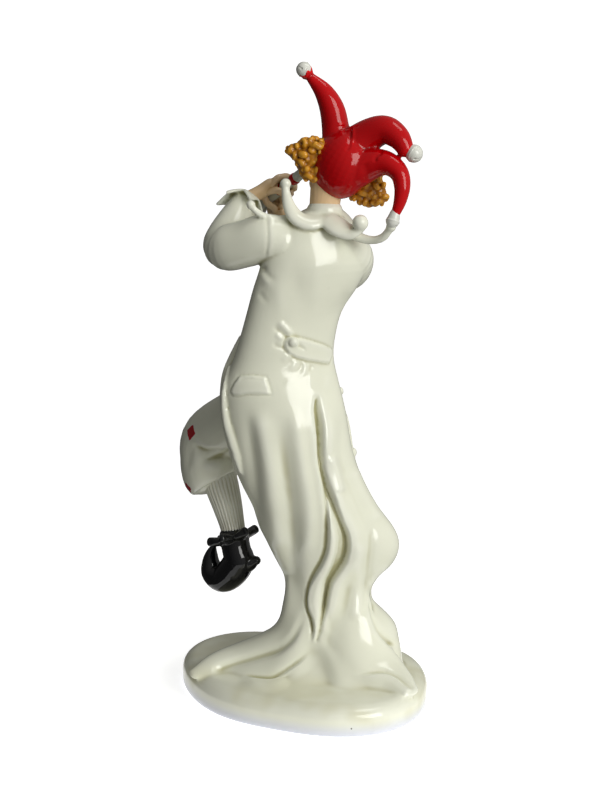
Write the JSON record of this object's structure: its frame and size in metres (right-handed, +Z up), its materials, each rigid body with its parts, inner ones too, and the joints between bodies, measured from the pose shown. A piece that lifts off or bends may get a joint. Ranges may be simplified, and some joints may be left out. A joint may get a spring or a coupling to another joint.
{
  "type": "clown musician figurine",
  "caption": "Glazed porcelain figurine of a clown in a long white coat and red horned cap, playing a pipe on one leg, on a low rounded plinth.",
  "frame": {"origin": "middle of the footprint, at the underside of the plinth", "axes": "+Z up, +Y towards the clown's back, +X towards the clown's own left"},
  "size_m": [0.1308, 0.1226, 0.33],
  "materials": {
    "painted_glaze": "glossy warm white glaze with red, gold, flesh and black enamel"
  },
  "bodies": {
    "root": {"clown_figurine": "painted_glaze"}
  },
  "joints": []
}
